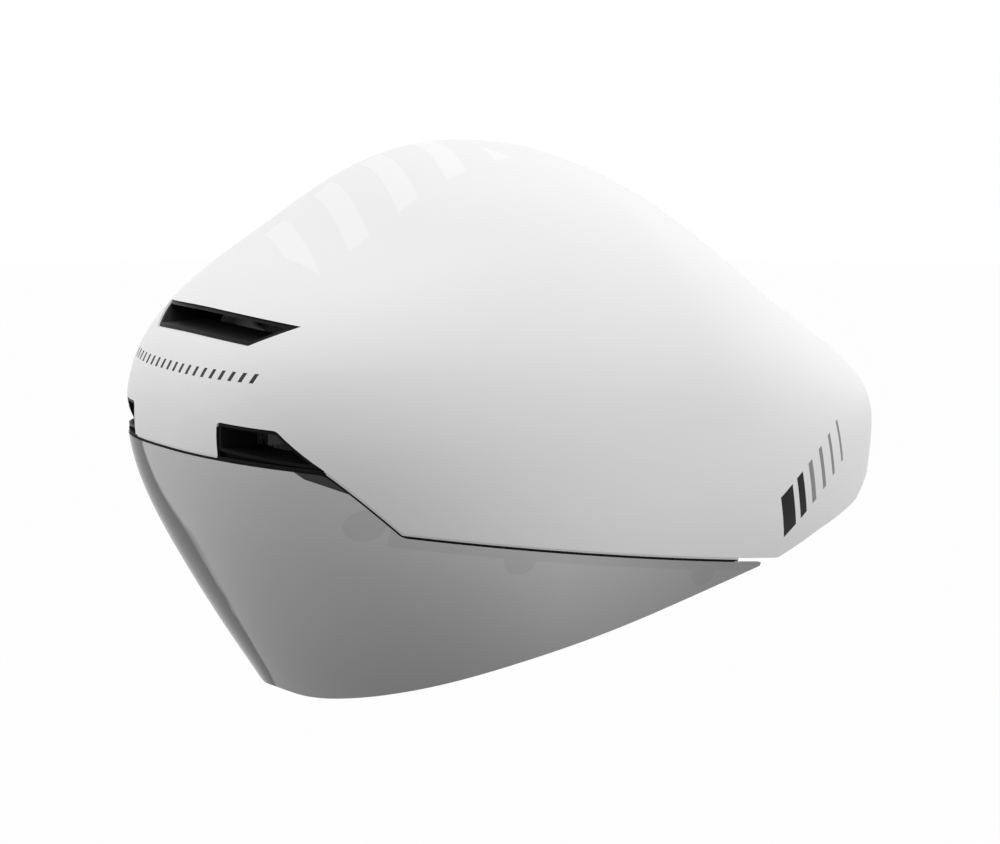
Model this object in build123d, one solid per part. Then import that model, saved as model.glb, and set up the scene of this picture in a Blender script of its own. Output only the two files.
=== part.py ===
from build123d import *
import os
from math import cos, pi, sin

# Aero time trial helmet, in millimetres. The front is towards -Y, the wearer's left is +X and
# the crown is +Z. The origin is the middle of the head's opening, level with the brow edge.

# Outer form, from which the shell, the visor, the rim and the liner all take their surfaces
crown_height = 101.5  # brow edge up to the top of the crown
skirt_depth = 100.0  # brow edge down to the level where the lower shares reach one
front_reach = 126.5  # origin forward to the brow
tail_reach = 174.5  # origin back to the tip of the tail
half_width = 106.0  # middle out to the widest place
overrun = 20.0  # how far a cutter runs past what it cuts

# Each row of shares is one level ring of the form, from the crown down to the brow line:
# its level, then its front, rear and half width, and the place of its widest point
upper_ring_shares = [
    (0.992, 0.071, 0.092, 0.166, 0.029),
    (0.969, 0.157, 0.158, 0.306, 0.046),
    (0.918, 0.264, 0.230, 0.461, 0.069),
    (0.827, 0.401, 0.331, 0.625, 0.103),
    (0.707, 0.549, 0.429, 0.761, 0.132),
    (0.562, 0.741, 0.545, 0.868, 0.155),
    (0.382, 0.915, 0.692, 0.947, 0.166),
    (0.187, 0.993, 0.869, 0.990, 0.172),
    (0.0, 1.0, 0.986, 1.0, 0.166),
]
upper_squareness_shares = [2.0, 2.0, 2.0, 2.05, 2.1, 2.15, 2.25, 2.35, 2.4]
# the same below the brow line, where the visor narrows to its lower edge
lower_ring_shares = [
    (0.2, 0.964, 1.0, 0.993, 0.155),
    (0.4, 0.892, 0.986, 0.965, 0.126),
    (0.6, 0.809, 0.930, 0.908, 0.080),
    (0.8, 0.719, 0.865, 0.814, 0.034),
    (1.02, 0.617, 0.781, 0.638, -0.023),
    (1.15, 0.560, 0.732, 0.471, -0.057),
]
lower_squareness_shares = [2.35, 2.26, 2.1, 1.95, 1.8, 1.75]
rear_squareness_share = 2.1
crown_point_share = 0.0143  # of the tail's reach
ring_points = 24


def ring(level, front, rear, width, widest, squareness, rear_squareness=rear_squareness_share):
    """One closed ring of a form, a rounded outline whose widest place lies between front and rear."""
    points = []
    for k in range(ring_points):
        turn = 2 * pi * k / ring_points
        ahead = cos(turn) > 0
        power = squareness if ahead else min(squareness, rear_squareness)
        reach = (abs(cos(turn)) ** power + abs(sin(turn)) ** power) ** (-1 / power)
        run = widest + front if ahead else rear - widest
        points.append(Vector(width * sin(turn) * reach, widest - cos(turn) * reach * run, level))
    steps = [k / ring_points for k in range(ring_points + 1)]
    return Wire([Edge.make_spline(points, periodic=True, parameters=steps)])


def form(inset):
    """The whole outer form as a solid, drawn in by inset: shell, visor, rim and liner are layers of it."""
    rings = []
    for shares, squareness in zip(reversed(lower_ring_shares), reversed(lower_squareness_shares)):
        level, front, rear, width, widest = shares
        rings.append(ring(-level * skirt_depth, front * front_reach - inset, rear * tail_reach - inset,
                          width * half_width - inset, widest * tail_reach, squareness))
    for shares, squareness in zip(reversed(upper_ring_shares), reversed(upper_squareness_shares)):
        level, front, rear, width, widest = shares
        rings.append(ring(level * (crown_height - inset), front * (front_reach - inset),
                          rear * (tail_reach - inset), width * (half_width - inset),
                          widest * tail_reach, squareness))
    top = Vertex(0, crown_point_share * tail_reach, crown_height - inset)
    return Solid.make_loft(rings + [top])


# Head hollow, the inside of the liner, for a head 55 to 59 cm round
hollow_half_width = 84.0
hollow_front = 105.0
hollow_rear = 103.0
hollow_height = 77.0
hollow_squareness_share = 2.2
hollow_levels = 8
known_hollows = {}


def hollow(inset):
    """The head hollow as a solid, drawn in by inset: slip liner, pads and straps are layers of it."""
    if inset not in known_hollows:
        front, rear = hollow_front - inset, hollow_rear - inset
        width, height = hollow_half_width - inset, hollow_height - inset
        rings = [(-skirt_depth, 1.0), (-skirt_depth / 2, 1.0)]
        for k in range(hollow_levels):
            rise = sin(pi / 2 * k / hollow_levels)
            size = (1 - rise ** hollow_squareness_share) ** (1 / hollow_squareness_share)
            rings.append((rise * height, size))
        wires = [ring(level, front * size, rear * size, width * size, 0, hollow_squareness_share,
                      hollow_squareness_share) for level, size in rings]
        known_hollows[inset] = Solid.make_loft(wires + [Vertex(0, 0, height)])
    return known_hollows[inset]


side_view = Plane(origin=(0, 0, 0), x_dir=(0, 1, 0), z_dir=(1, 0, 0))
front_view = Plane(origin=(0, 0, 0), x_dir=(1, 0, 0), z_dir=(0, -1, 0))


def side_prism(face, inner=None):
    """A side-view face carried along X: both ways past the shell, or from inner out past its left."""
    if inner is None:
        return extrude(side_view * face, amount=half_width + overrun, both=True)
    return Pos(inner, 0, 0) * extrude(side_view * face, amount=half_width + overrun - inner)


def front_prism(face, start):
    """A front-view face carried forward from start to past the brow."""
    return Pos(0, start, 0) * extrude(front_view * face, amount=front_reach + overrun + start)


def side_points(shares, drop=0):
    """Places in the side view, from shares of the front or tail reach and of the skirt depth."""
    return [(y * (front_reach if y < 0 else tail_reach), z * skirt_depth - drop) for y, z in shares]


def block(low, high):
    """A box between two corners."""
    size = [b - a for a, b in zip(low, high)]
    return Pos(*[(a + b) / 2 for a, b in zip(low, high)]) * Box(*size)


def mirrored(solid):
    """The same piece on the wearer's right."""
    return mirror(solid, about=Plane.YZ)


def side_seat(solid, y, z):
    """Plane on the left side of a form at a place in the side view: its Z points out, its Y up."""
    hits = solid.find_intersection_points(Axis((0, y, z), (1, 0, 0)))
    point, normal = max(hits, key=lambda hit: hit[0].X)
    if normal.X < 0:
        normal = -normal
    return Plane(origin=point, x_dir=Vector(-normal.Y, normal.X, 0).normalized(), z_dir=normal)


pieces = {}


def pair(name, solid):
    """A left-hand piece and its mirror image, each in a node of its own."""
    pieces[name + "_left"] = solid
    pieces[name + "_right"] = mirrored(solid)


# Lower edge of the shell in the side view: brow, the slant down to the cheek, the long run
# above the ear, the rear corner, and the neck edge that climbs to the tail
edge_shares = [
    (-0.807, -0.037), (-0.617, -0.265), (0.344, -0.475), (0.464, -0.505),
    (0.607, -0.430), (0.779, -0.370), (0.83, -0.320),
]
edge_front_share = 0.005  # the brow's level at its middle, of the skirt depth
edge_tail_share = -0.2
edge_corner_radius = 6.0


def edge_face(drop=0):
    """Side view of all that lies above the shell's lower edge, that edge lowered by drop."""
    points = side_points(edge_shares, drop)
    front = (-front_reach - overrun, edge_front_share * skirt_depth - drop)
    tail = (tail_reach + overrun, edge_tail_share * skirt_depth - drop)
    lid = crown_height + overrun
    corners = [front] + points + [tail, (tail[0], lid), (front[0], lid)]
    radii = [0] + [edge_corner_radius] * len(points) + [0, 0, 0]
    return make_face(FilletPolyline(corners, radius=radii, close=True))


# Upper vent slot in the front view
slot_half_width = 45.5
slot_top = 47.0
slot_bottom = 38.2
slot_tip_share = 0.72  # the tip's level, from the bottom to the top
slot_foot_share = 0.70  # where the lower edge turns up to the tip, of the half width
slot_sag = 1.2  # how much lower the lower edge is at its turn than in the middle


def slot_face():
    """Outline of the upper vent slot, pointed at both ends."""
    tip = slot_bottom + slot_tip_share * (slot_top - slot_bottom)
    foot = slot_foot_share * slot_half_width
    low = slot_bottom - slot_sag
    return make_face([
        ThreePointArc((-slot_half_width, tip), (0, slot_top), (slot_half_width, tip)),
        Line((slot_half_width, tip), (foot, low)),
        ThreePointArc((foot, low), (0, slot_bottom), (-foot, low)),
        Line((-foot, low), (-slot_half_width, tip)),
    ])


# Brow vents, the left one in the front view: notches that reach down to the visor's upper edge
notch_inner = 29.5
notch_turn = 53.0
notch_tip = 66.8
notch_inner_top = 10.7
notch_outer_top = 9.6
notch_floor = 0.3
notch_tip_level = -3.7
notch_corner_radius = 1.5


def notch_face(below=0):
    """Outline of the left brow vent, closed along the brow line or open downwards by below."""
    points = [(notch_inner, notch_floor), (notch_inner, notch_inner_top),
              (notch_turn, notch_outer_top), (notch_tip, notch_tip_level)]
    radii = [0, notch_corner_radius, 2 * notch_corner_radius, 0]
    if below:
        points += [(notch_tip, notch_tip_level - below), (notch_inner, notch_tip_level - below)]
        radii += [0, 0]
    return make_face(FilletPolyline(points, radius=radii, close=True))


# Outer shell of polycarbonate
shell_wall = 2.0
outer = form(0)
lining = form(shell_wall)
slot_through = front_prism(slot_face(), -hollow_front / 2)
notch_open = front_prism(notch_face(overrun), -hollow_front / 2)
shell = (outer & side_prism(edge_face())) - lining
pieces["outer_shell"] = shell - slot_through - notch_open - mirrored(notch_open)

# Seal strip in the joint between the shell's lower edge and the visor
seal_height = 1.3
seal_recess = 0.4  # how far it lies below the outer surface
seal_back_share = 0.332  # where it ends, of the tail's reach
seal_band = edge_face(seal_height) - edge_face()
seal_band -= Pos(seal_back_share * tail_reach + front_reach, 0) * Rectangle(
    2 * front_reach, 2 * (crown_height + skirt_depth))
pieces["seal_strip"] = (form(seal_recess) & side_prism(seal_band)) - lining

# Visor: a wrap-round lens, flush with the shell, from under the seal down to its lower edge
visor_gap = 0.3
visor_edge_shares = [
    (0.407, -0.522), (0.238, -0.588), (0.089, -0.658), (-0.1225, -0.746), (-0.281, -0.815),
    (-0.455, -0.903), (-0.573, -0.961), (-0.622, -0.973), (-0.655, -0.948),
]
visor_front_share = -0.8  # level at which the lower edge's curve runs out ahead of the visor
visor_tip_radius = 0.5
visor_points = side_points(visor_edge_shares)
visor_front = (-front_reach - overrun, visor_front_share * skirt_depth)
visor_face = make_face([
    Spline(*visor_points),
    Line(visor_points[-1], visor_front),
    Line(visor_front, (visor_front[0], crown_height)),
    Line((visor_front[0], crown_height), (visor_points[0][0], crown_height)),
    Line((visor_points[0][0], crown_height), visor_points[0]),
]) - edge_face(seal_height + visor_gap)
visor_tip = visor_face.vertices().sort_by(Axis.X)[-2:]
visor_face = fillet(visor_tip, visor_tip_radius)
pieces["visor_lens"] = (outer & side_prism(visor_face)) - lining

# Seat rim: the black flange behind the visor's upper edge, lapped up behind the shell
seat_gap = 0.3  # between the rim and the shell or the visor
rim_wall = 2.4
rim_lap = 8.0  # how far it reaches up behind the shell
rim_inset = shell_wall + seat_gap
rim_shares = [(-0.83, -0.046), (-0.783, -0.145), (-0.695, -0.275), (-0.632, -0.312), (0.332, -0.516)]
rim_brow_share = -0.006  # its lower edge at the middle of the brow
# dark lip of the brow vent's duct, which covers the rim just under the vent's outer end
lip_shares = [(-0.838, -0.02), (-0.838, -0.038), (-0.805, -0.094), (-0.74, -0.133), (-0.681, -0.178),
              (-0.66, -0.15)]
lip_wall = 1.2
rim_points = [(-front_reach - overrun, rim_brow_share * skirt_depth)] + side_points(rim_shares)
rim_face = make_face(Polyline(
    *rim_points, (rim_points[-1][0], crown_height), (rim_points[0][0], crown_height), close=True,
)) - edge_face(-rim_lap)
lip_face = make_face(Polyline(*side_points(lip_shares), close=True))
rim = (form(rim_inset) & side_prism(rim_face)) - form(rim_inset + rim_wall)
lip_layer = form(rim_inset) - form(rim_inset + lip_wall)
rim = rim - (side_prism(lip_face) - form(rim_inset + lip_wall))
duct_clearance = 0.2
notch_duct_hole = front_prism(offset(notch_face(), duct_clearance), -hollow_front / 2)
rim = rim - notch_duct_hole - mirrored(notch_duct_hole)

# Magnets: a disc on the visor's inner face meets one in a boss of the rim, three a side
magnet_shares = [(-0.704, -0.235), (-0.30, -0.373), (0.235, -0.497)]
visor_magnet_radius = 3.5
visor_magnet_thickness = 1.2
glue_line = 0.15
seat_magnet_radius = 4.0
seat_magnet_thickness = 2.0
magnet_gap = 0.4
boss_radius = 5.5
boss_floor = 1.3
magnet_play = 0.6  # around the visor's disc in the rim's slot
fit_clearance = 0.05
seat_magnets = []
visor_magnets = []
boss_rooms = []
for y, z in side_points(magnet_shares):
    seat = side_seat(lining, y, z)
    disc_depth = glue_line + visor_magnet_thickness
    seat_depth = disc_depth + magnet_gap
    boss_depth = seat_depth + seat_magnet_thickness + boss_floor
    disc = Pos(0, 0, -disc_depth) * Cylinder(
        visor_magnet_radius, visor_magnet_thickness, align=(Align.CENTER, Align.CENTER, Align.MIN))
    slug = Pos(0, 0, -seat_depth) * Cylinder(
        seat_magnet_radius, seat_magnet_thickness, align=(Align.CENTER, Align.CENTER, Align.MAX))
    boss = Pos(0, 0, -rim_wall / 2) * Cylinder(
        boss_radius, boss_depth - rim_wall / 2, align=(Align.CENTER, Align.CENTER, Align.MAX))
    slot_radius = visor_magnet_radius + magnet_play
    # the slot is open downwards, so that the disc can leave as the visor is drawn down
    slot = block((-slot_radius, -2 * boss_radius, -seat_depth), (slot_radius, 0, overrun))
    slot += Pos(0, 0, -seat_depth) * Cylinder(
        slot_radius, seat_depth + overrun, align=(Align.CENTER, Align.CENTER, Align.MIN))
    bore = Pos(0, 0, -seat_depth) * Cylinder(
        seat_magnet_radius + fit_clearance, seat_magnet_thickness + fit_clearance,
        align=(Align.CENTER, Align.CENTER, Align.MAX))
    boss_room = Cylinder(
        boss_radius + seat_gap, boss_depth + seat_gap, align=(Align.CENTER, Align.CENTER, Align.MAX))
    for side in (lambda s: s, mirrored):
        rim = rim + side(seat * boss)
        rim = rim - side(seat * (slot + bore))
        boss_rooms.append(side(seat * boss_room))
    seat_magnets.append(seat * slug)
    visor_magnets.append(seat * disc)
pieces["visor_seat_rim"] = rim
pair("seat_magnets", Compound(seat_magnets))
pair("visor_magnets", Compound(visor_magnets))

# Ducts: black frames that line the vents, each with its lip turned down inside the visor
duct_wall = 1.2
duct_recess = 0.6  # how far the frame lies below the outer surface
duct_depth = 14.0
duct_ring = form(duct_recess) - form(duct_recess + duct_depth)


def duct(face):
    """A frame that fits a vent's outline and follows the shell inwards."""
    frame = offset(face, -duct_clearance) - offset(face, -duct_clearance - duct_wall)
    return front_prism(frame, -hollow_front / 2) & duct_ring


pieces["upper_vent_duct"] = duct(slot_face())
lip = side_prism(lip_face, inner=notch_turn) & lip_layer
pair("brow_vent_duct", duct(notch_face()) + lip)

# Foam liner: fills the shell down to just inside its edge, open to the head and to the air channels
liner_rise = 2.0  # its lower edge above the shell's
rim_room_top = rim_lap + seat_gap
liner = (form(rim_inset) & side_prism(edge_face(-liner_rise))) - hollow(0)
rim_room = edge_face() - edge_face(-rim_room_top)
rim_room -= Pos(rim_points[-1][0] + seat_gap + front_reach, 0) * Rectangle(
    2 * front_reach, 2 * (crown_height + skirt_depth))
liner = liner - (side_prism(rim_room) - form(rim_inset + rim_wall + seat_gap))
tail_room_half_width = 66.0  # the open room behind the head, for the fit system and the air
tail_room_front = 60.0
tail_room_top = 8.0
liner = liner - block((-tail_room_half_width, tail_room_front, -skirt_depth),
                      (tail_room_half_width, tail_reach - duct_depth, tail_room_top))
ear_middle = 20.0  # ear pockets in the liner's sides
ear_level = -34.0
ear_length = 40.0
ear_height = 30.0
ear_reach = 91.0
ear = side_prism(Pos(ear_middle, ear_level) * Ellipse(ear_length, ear_height), inner=0)
ear = ear & block((0, -front_reach, -skirt_depth), (ear_reach, tail_reach, crown_height))
liner = liner - ear - mirrored(ear)
channel_depth = 8.0  # air channels along the crown
channel_width = 14.0
channel_side = 34.0  # the outer channels' middle
channel_back = 150.0
for middle in (-channel_side, 0, channel_side):
    slab = block((middle - channel_width / 2, -hollow_front, 0),
                 (middle + channel_width / 2, channel_back, crown_height))
    liner = liner - (hollow(-channel_depth) & slab)
slot_duct_hole = front_prism(offset(slot_face(), duct_clearance), -hollow_front / 2)
liner = liner - slot_duct_hole
liner = liner - notch_open - mirrored(notch_open)
for boss_room in boss_rooms:
    liner = liner - boss_room

# Strap anchors: plugs with a stem in the liner, whose heads hold the ends of the straps
anchor_shares = [("front", -0.237, -0.22), ("rear", 0.378, -0.36)]
anchor_radius = 7.0
anchor_stem_radius = 3.0
anchor_stem = 8.0
strap_inset = 3.8  # from the hollow's wall to the strap
strap_wall = 1.2
strap_width = 15.0
anchor_places = {}
for place, y_share, z_share in anchor_shares:
    (y, z), = side_points([(y_share, z_share)])
    anchor_places[place] = (y, z)
    seat = side_seat(hollow(0), y, z)
    seat = Plane(origin=seat.origin, x_dir=seat.x_dir, z_dir=-seat.z_dir)
    head_depth = strap_inset - 2 * seat_gap
    stem = Cylinder(anchor_stem_radius, anchor_stem, align=(Align.CENTER, Align.CENTER, Align.MAX))
    plug = Pos(0, 0, seat_gap) * (stem + Cylinder(
        anchor_radius, head_depth, align=(Align.CENTER, Align.CENTER, Align.MIN)))
    hole = Pos(0, 0, seat_gap) * Cylinder(
        anchor_stem_radius + fit_clearance, anchor_stem + seat_gap,
        align=(Align.CENTER, Align.CENTER, Align.MAX))
    for side in (lambda s: s, mirrored):
        liner = liner - side(seat * hole)
    pair(f"{place}_strap_anchor", seat * plug)

# Slip liner: a thin low-friction cap that turns a little inside the foam, on four elastomer anchors
slip_gap = 1.5
slip_wall = 0.8
slip_front_edge = 12.0
slip_rear_edge = 5.0
slip_inner = slip_gap + slip_wall
slip_face = make_face(Polyline(
    (-hollow_front - overrun, slip_front_edge), (-hollow_front / 2, slip_front_edge),
    (hollow_rear / 2, slip_rear_edge), (hollow_rear + overrun, slip_rear_edge),
    (hollow_rear + overrun, crown_height), (-hollow_front - overrun, crown_height), close=True,
))
slip = (hollow(slip_gap) & side_prism(slip_face)) - hollow(slip_inner)
slip_slot_width = 9.0
slip_slot_reach = 70.0
slip_slot_gap = 15.0
for middle in (-channel_side, 0, channel_side):
    for y in (-slip_slot_reach, slip_slot_gap + 2 * strap_width):
        slot = block((middle - slip_slot_width / 2, y, 0),
                     (middle + slip_slot_width / 2, y + slip_slot_reach - slip_slot_gap, crown_height))
        slip = slip - slot
slip = slip - front_prism(offset(slot_face(), slip_gap), -hollow_front / 2)
slip_anchor_radius = 5.0
slip_anchor_level = 22.0
slip_anchor_gap = 0.25
for name, (x, y) in {"front": (0, -1), "rear": (0, 1), "left": (1, 0), "right": (-1, 0)}.items():
    disc = Plane(origin=(0, 0, slip_anchor_level), z_dir=(x, y, 0)) * Cylinder(
        slip_anchor_radius, tail_reach, align=(Align.CENTER, Align.CENTER, Align.MIN))
    pieces[f"slip_anchor_{name}"] = (disc & hollow(slip_anchor_gap)) - hollow(slip_gap - slip_anchor_gap)

# Pads on the slip liner
pad_inset = slip_inner + seat_gap
pad_thickness = 6.0


def pad(prism, thickness=pad_thickness, inset=pad_inset):
    """A pad of even thickness that follows the head, within a prism."""
    return (hollow(inset) & prism) - hollow(inset + thickness)


brow_pad_half_width = 62.0
brow_pad_top = 30.0
brow_pad_bottom = slip_front_edge + seat_gap
brow_face = make_face(FilletPolyline(
    (-brow_pad_half_width, brow_pad_bottom), (brow_pad_half_width, brow_pad_bottom),
    (brow_pad_half_width, brow_pad_top), (-brow_pad_half_width, brow_pad_top),
    radius=pad_thickness, close=True))
pieces["brow_pad"] = pad(front_prism(brow_face, -hollow_front / 3))
crown_pad_width = 18.0
crown_pad_middle = 20.0
crown_pad_front = (-62.0, 2.0)
crown_pad_rear = (34.0, 78.0)
for place, (low, high) in {"front": crown_pad_front, "rear": crown_pad_rear}.items():
    strip = Pos(crown_pad_middle, (low + high) / 2) * RectangleRounded(
        crown_pad_width, high - low, crown_pad_width / 3)
    pair(f"{place}_crown_pad", pad(extrude(strip, amount=crown_height)))
temple_pad = (-47.0, -2.0)
temple_pad_level = (24.0, 42.0)
temple_strip = Pos(sum(temple_pad) / 2, sum(temple_pad_level) / 2) * RectangleRounded(
    temple_pad[1] - temple_pad[0], temple_pad_level[1] - temple_pad_level[0], pad_thickness)
pair("temple_pad", pad(side_prism(temple_strip, inner=0)))

# Straps: flat webbing, tucked up inside the helmet. Each side's two straps rise from their
# anchors to a divider, and the chin strap runs on from there over the crown's inside
strap_middle = 18.0
divider_level = 9.0
divider_half_width = 16.0
divider_half_height = 7.0
divider_wall = 3.8
divider_gap = 0.8
strap_end_gap = 0.2
divider_foot = divider_level - divider_half_height - strap_end_gap
divider_head = divider_level + divider_half_height + strap_end_gap


def strap(prism):
    """A stretch of webbing that follows the head's hollow, within a prism."""
    return (hollow(strap_inset) & prism) - hollow(strap_inset + strap_wall)


for place, (y, z) in anchor_places.items():
    # each strap reaches past its anchor's middle and ends square under the divider
    near = strap_end_gap if y > strap_middle else -strap_width - strap_end_gap
    start = strap_middle + near
    run = Vector(start + strap_width / 2 - y, divider_foot - z)
    along = run.normalized() * anchor_radius / 2
    across = Vector(-along.Y, along.X).normalized() * strap_width / 2
    foot = Vector(y, z) - along
    low, high = sorted([foot - across, foot + across], key=lambda corner: corner.X)
    outline = make_face(Polyline(
        (low.X, low.Y), (high.X, high.Y),
        (start + strap_width, divider_foot), (start, divider_foot), close=True))
    pair(f"{place}_strap", strap(side_prism(outline, inner=0)))

# Divider: a plate with two ears for its locking lever, in a frame whose Z points out of the head
divider_seat = side_seat(hollow(strap_inset), strap_middle, divider_level)
lever_half_width = 6.0
lever_wall = 1.8
lever_foot = -6.0  # the lever's free edge below the divider's middle
hinge_rise = 4.5
hinge_depth = 6.1
barrel_radius = 1.3
pin_radius = 0.8
ear_wall = 3.0
ear_gap = 0.4
ear_half_height = 2.0
ear_depth = 7.6
divider_back = divider_gap + divider_wall
plate = block((-divider_half_width, -divider_half_height, -divider_back),
              (divider_half_width, divider_half_height, -divider_gap))
window_height = 1.8
window_share = 0.72  # the windows' place towards the plate's edges
for side in (-1, 1):
    middle = side * window_share * divider_half_height
    plate -= block((-strap_width / 2, middle - window_height / 2, -divider_back),
                   (strap_width / 2, middle + window_height / 2, -divider_gap))
    ear_start = lever_half_width + ear_gap
    low, high = sorted([side * ear_start, side * (ear_start + ear_wall)])
    plate += block((low, hinge_rise - ear_half_height, -ear_depth),
                   (high, hinge_rise + ear_half_height, -divider_gap - divider_wall / 2))
pin_reach = lever_half_width + ear_gap + ear_wall - ear_gap
hinge = Pos(0, hinge_rise, -hinge_depth) * Rot(0, 90, 0)
plate -= hinge * Cylinder(pin_radius + fit_clearance, 2 * (pin_reach + ear_gap))
lever = block((-lever_half_width, lever_foot, -hinge_depth - lever_wall / 2),
              (lever_half_width, hinge_rise, -hinge_depth + lever_wall / 2))
lever += hinge * Cylinder(barrel_radius, 2 * lever_half_width)
lever += hinge * Cylinder(pin_radius, 2 * pin_reach)
pair("strap_divider", divider_seat * plate)
pair("divider_lever", divider_seat * lever)

# Side-release buckle on the chin strap, in a frame whose Z runs up the strap and Y points inwards
release_level = 26.0  # where the male half's lower end comes to when it is drawn out
buckle_top_level = 67.0
buckle_half_width = 10.5
buckle_thickness = 8.0
buckle_wall = 1.6
male_length = 13.0
male_relief = 1.0  # how much thinner the male half's body is on each face
prong_length = 15.0
prong_width = 2.5
prong_gap = 0.3
female_length = 27.0
socket_depth = 17.0
guide_half_width = 1.5
web_slot = 3.0
web_slot_inset = 3.0
socket_half_width = buckle_half_width - buckle_wall
female_top = male_length + female_length
# the whole path of the release is a chord inside the strap, so the male half never meets the liner
low_point = side_seat(hollow(strap_inset + strap_wall), strap_middle, release_level).origin
high_point = side_seat(hollow(strap_inset + strap_wall), strap_middle, buckle_top_level).origin
up = (high_point - low_point).normalized()
buckle_seat = Plane(origin=high_point - up * female_top, x_dir=(0, 1, 0), z_dir=up)
female = block((-buckle_half_width, 0, male_length + strap_end_gap),
               (buckle_half_width, buckle_thickness, female_top))
female -= block((-socket_half_width, buckle_wall, male_length),
                (socket_half_width, buckle_thickness - buckle_wall, male_length + socket_depth))
window_low = male_length + prong_length / 2
female -= block((-buckle_half_width, 2 * buckle_wall, window_low),
                (buckle_half_width, buckle_thickness - 2 * buckle_wall, male_length + prong_length))
web_low = female_top - web_slot_inset - web_slot
female -= block((-strap_width / 2, 0, web_low), (strap_width / 2, buckle_thickness, web_low + web_slot))
male = block((-buckle_half_width, male_relief, 0),
             (buckle_half_width, buckle_thickness - male_relief, male_length))
male -= block((-strap_width / 2, 0, web_slot_inset),
              (strap_width / 2, buckle_thickness, web_slot_inset + web_slot))
prong_low = buckle_wall + prong_gap
prong_high = buckle_thickness - prong_low
prong_outer = socket_half_width - prong_gap
for low, high in ((-prong_outer, -prong_outer + prong_width), (-guide_half_width, guide_half_width),
                  (prong_outer - prong_width, prong_outer)):
    male += block((low, prong_low, male_length - prong_gap), (high, prong_high, male_length + prong_length))
pieces["buckle_female"] = buckle_seat * female
pieces["buckle_male"] = buckle_seat * male

arch = strap(block((-half_width, strap_middle - strap_width / 2, divider_head),
                   (half_width, strap_middle + strap_width / 2, crown_height)))
far = 2 * half_width
below_top = buckle_seat * block((-far, -far, -far), (far, far, female_top + strap_end_gap))
pieces["chin_strap_right"] = arch - below_top
# the left stretch runs straight from its divider to the male half
web_foot = side_seat(hollow(strap_inset + strap_wall / 2), strap_middle, divider_head).origin
web_head = (buckle_seat * Pos(0, buckle_thickness / 2, -strap_end_gap)).position
web_seat = Plane(origin=web_foot, x_dir=(0, 1, 0), z_dir=web_head - web_foot)
pieces["chin_strap_left"] = web_seat * block(
    (-strap_width / 2, -strap_wall / 2, strap_wall / 2),
    (strap_width / 2, strap_wall / 2, (web_head - web_foot).length - strap_wall / 2))
keeper_level = 36.0
keeper_half_height = 2.5
keeper_wall = 0.6
keeper_room = 0.4
keeper_face_room = 0.1
keeper_face_wall = 0.5
keeper_seat = side_seat(hollow(strap_inset), strap_middle, keeper_level)
keeper_side = strap_width / 2 + keeper_room
keeper_back = strap_wall + 2 * keeper_room
keeper = block((-keeper_side - keeper_wall, -keeper_half_height, -keeper_back - keeper_wall),
               (keeper_side + keeper_wall, keeper_half_height, keeper_face_room + keeper_face_wall))
keeper -= block((-keeper_side, -keeper_half_height, -keeper_back),
                (keeper_side, keeper_half_height, keeper_face_room))
pieces["strap_keeper"] = mirrored(keeper_seat * keeper)
chin_pad_half_length = 26.0
chin_pad_width = 18.0
chin_pad_thickness = 3.0
chin_strip = Pos(0, strap_middle) * RectangleRounded(
    2 * chin_pad_half_length, chin_pad_width, chin_pad_width / 3)
pieces["chin_pad"] = pad(extrude(chin_strip, amount=crown_height), chin_pad_thickness,
                         strap_inset + strap_wall + seat_gap)

# Fit system: a cradle at the back of the head, drawn in by a dial with two toothed strips
fit_level = -13.0
cradle_inset = 8.4
cradle_wall = 1.6
cradle_half_width = 40.0
cradle_drop = 20.0
cradle_rise = 12.0
cradle_outline_shares = [
    (0.0, -0.6), (0.3, -0.7), (0.7, -1.0), (1.0, -0.7), (1.0, 0.05), (0.72, 0.8), (0.3, 1.0),
]
stem_half_width = 9.0
stem_top = 19.0


def rear_prism(face):
    """A front-view face carried back past the tail."""
    return extrude(front_view * face, amount=-tail_reach)


half = [(x * cradle_half_width, fit_level + z * (cradle_drop if z < 0 else cradle_rise))
        for x, z in cradle_outline_shares]
cradle_face = make_face(Polyline(*half, *[(-x, z) for x, z in reversed(half[1:])], close=True))
stem_back = hollow_rear - cradle_inset
cradle = (hollow(cradle_inset) & rear_prism(cradle_face)) - hollow(cradle_inset + cradle_wall)
stem = block((-stem_half_width, stem_back - cradle_wall, fit_level), (stem_half_width, stem_back, stem_top))
pieces["cradle_frame"] = cradle + stem
guide_low = 6.0
guide_high = 14.0
guide_half_width_out = 13.0
guide_front_wall = 1.2
guide = block((-guide_half_width_out, stem_back - cradle_wall - seat_gap - guide_front_wall, guide_low),
              (guide_half_width_out, hollow_rear, guide_high)) & hollow(slip_inner + duct_clearance)
guide -= block((-stem_half_width - seat_gap, stem_back - cradle_wall - seat_gap, guide_low),
               (stem_half_width + seat_gap, stem_back + seat_gap, guide_high))
pieces["cradle_guide"] = guide
neck_pad_size = (28.0, 20.0)
neck_pad_place = (23.0, -17.0)
neck_pad_thickness = 4.5
neck_face = Pos(*neck_pad_place) * RectangleRounded(*neck_pad_size, neck_pad_thickness)
pair("neck_pad", pad(rear_prism(neck_face), neck_pad_thickness, cradle_inset + cradle_wall + seat_gap))

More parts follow.
